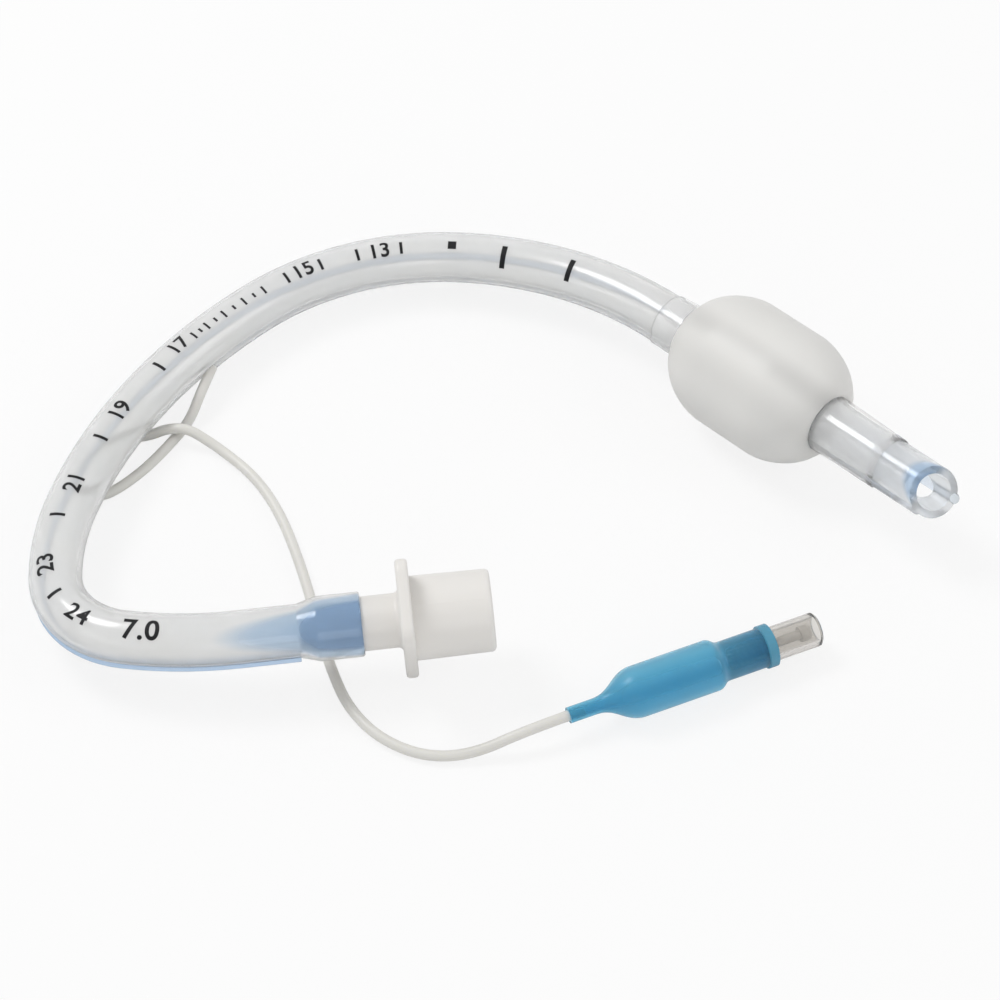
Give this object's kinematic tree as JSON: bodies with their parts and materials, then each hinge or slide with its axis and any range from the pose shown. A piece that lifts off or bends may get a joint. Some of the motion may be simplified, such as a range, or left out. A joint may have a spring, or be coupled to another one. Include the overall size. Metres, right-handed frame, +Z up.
{
  "type": "endotracheal tube",
  "caption": "Curved clear airway tube with a barrel cuff near its slanted tip, a white eared 15 mm connector and a thin line to a blue pilot balloon with a sprung valve.",
  "frame": {"origin": "middle of the footprint of the tube, cuff and connector, on the surface that they lie on", "axes": "+Z up; +X to the side that the connector's open end and the tip point to; +Y to the crown of the tube's curve"},
  "size_m": [0.1712, 0.1227, 0.0276],
  "materials": {
    "clear_pvc": "clear, slightly milky and glossy",
    "blue_stripe": "blue, glossy",
    "cuff_film": "milky film, satin",
    "white_moulding": "warm white, satin",
    "line_white": "off-white, satin",
    "balloon_blue": "translucent mid blue, satin",
    "clasp_blue": "deeper blue, glossy",
    "clear_housing": "clear, faintly smoky",
    "plunger_white": "natural white",
    "seal_rubber": "soft black rubber",
    "spring_steel": "bright spring steel"
  },
  "bodies": {
    "tube": {"tube_shaft": "clear_pvc", "xray_stripe": "blue_stripe", "cuff": "cuff_film", "connector": "white_moulding", "inflation_line": "line_white", "pilot_balloon": "balloon_blue", "sleeve_clasp": "clasp_blue", "valve_housing": "clear_housing", "valve_stop": "plunger_white", "valve_spring": "spring_steel"},
    "plunger": {"valve_plunger": "plunger_white", "valve_seal": "seal_rubber"}
  },
  "joints": [
    {"name": "valve_press", "type": "slide", "parent": "tube", "child": "plunger", "axis": [-0.9178, -0.3971, 0], "range_m": [0, 0.0015], "stiffness_N_per_m": 400, "springref_m": -0.001, "deforming": ["valve_spring"]}
  ]
}
